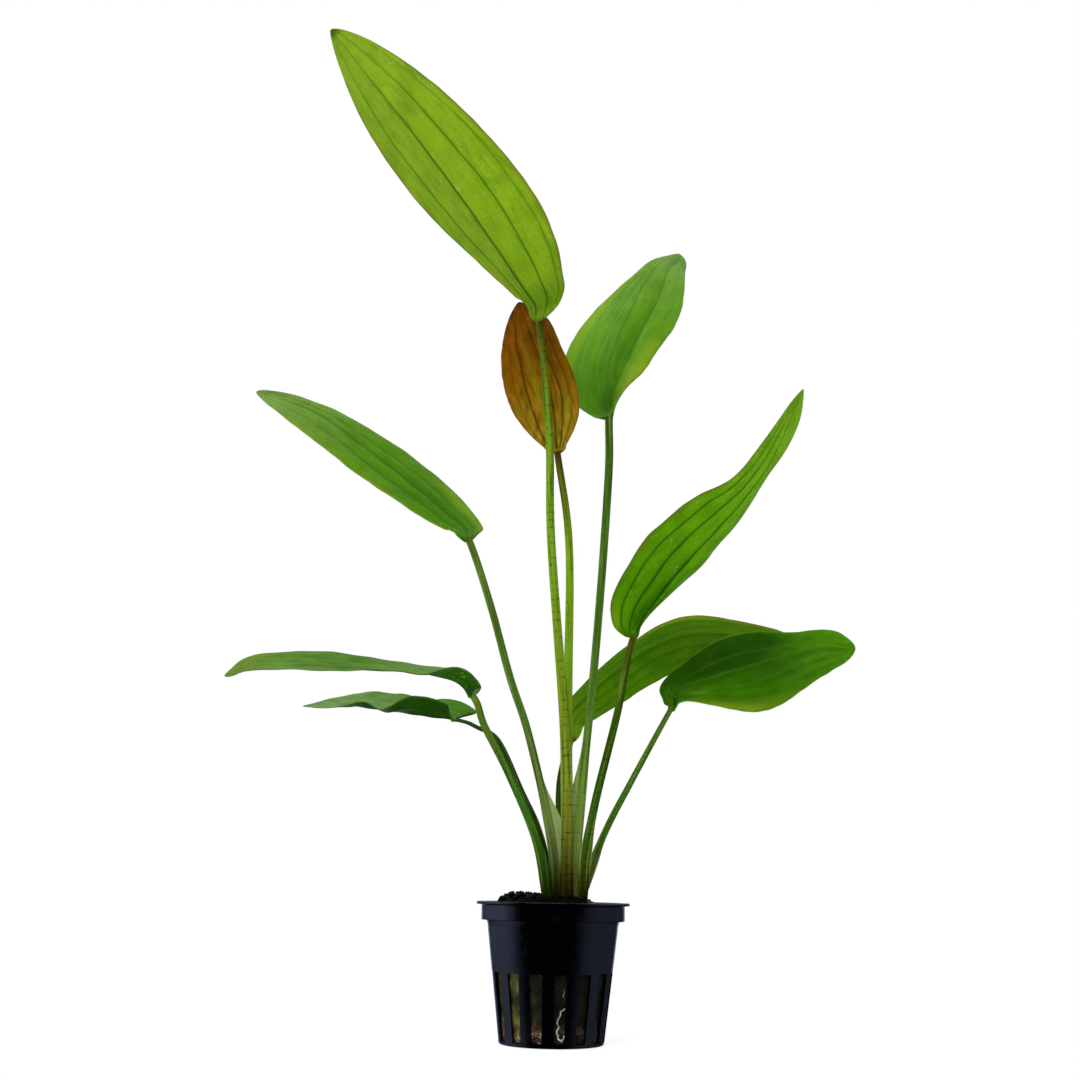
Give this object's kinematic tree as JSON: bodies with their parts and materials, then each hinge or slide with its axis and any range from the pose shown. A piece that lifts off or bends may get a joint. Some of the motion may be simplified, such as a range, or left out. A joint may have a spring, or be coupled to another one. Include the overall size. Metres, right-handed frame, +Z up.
{
  "type": "potted echinodorus",
  "caption": "Sword-leaved water plant with long-stalked blades in a rosette, rooted in a slotted black net pot of mineral wool topped with dark soil.",
  "frame": {"origin": "middle of the pot's foot, on the surface that the pot stands on", "axes": "+Z up along the pot, -Y towards the side that the picture shows, +X to the right in it"},
  "size_m": [0.2354, 0.1014, 0.3671],
  "materials": {
    "pot_plastic": "satin",
    "mineral_wool": "matte",
    "soil": "matte",
    "rootstock": "matte",
    "white_root": "satin",
    "green_leaf": "satin",
    "young_leaf": "satin"
  },
  "bodies": {
    "root": {"net_pot": "pot_plastic", "mineral_wool": "mineral_wool", "soil": "soil", "rootstock": "rootstock", "white_root": "white_root", "leaf_tall": "green_leaf", "leaf_upper_right": "green_leaf", "leaf_right": "green_leaf", "leaf_lower_right": "green_leaf", "leaf_back_right": "green_leaf", "leaf_upper_left": "green_leaf", "leaf_left": "green_leaf", "leaf_lower_left": "green_leaf", "leaf_young": "young_leaf"}
  },
  "joints": []
}
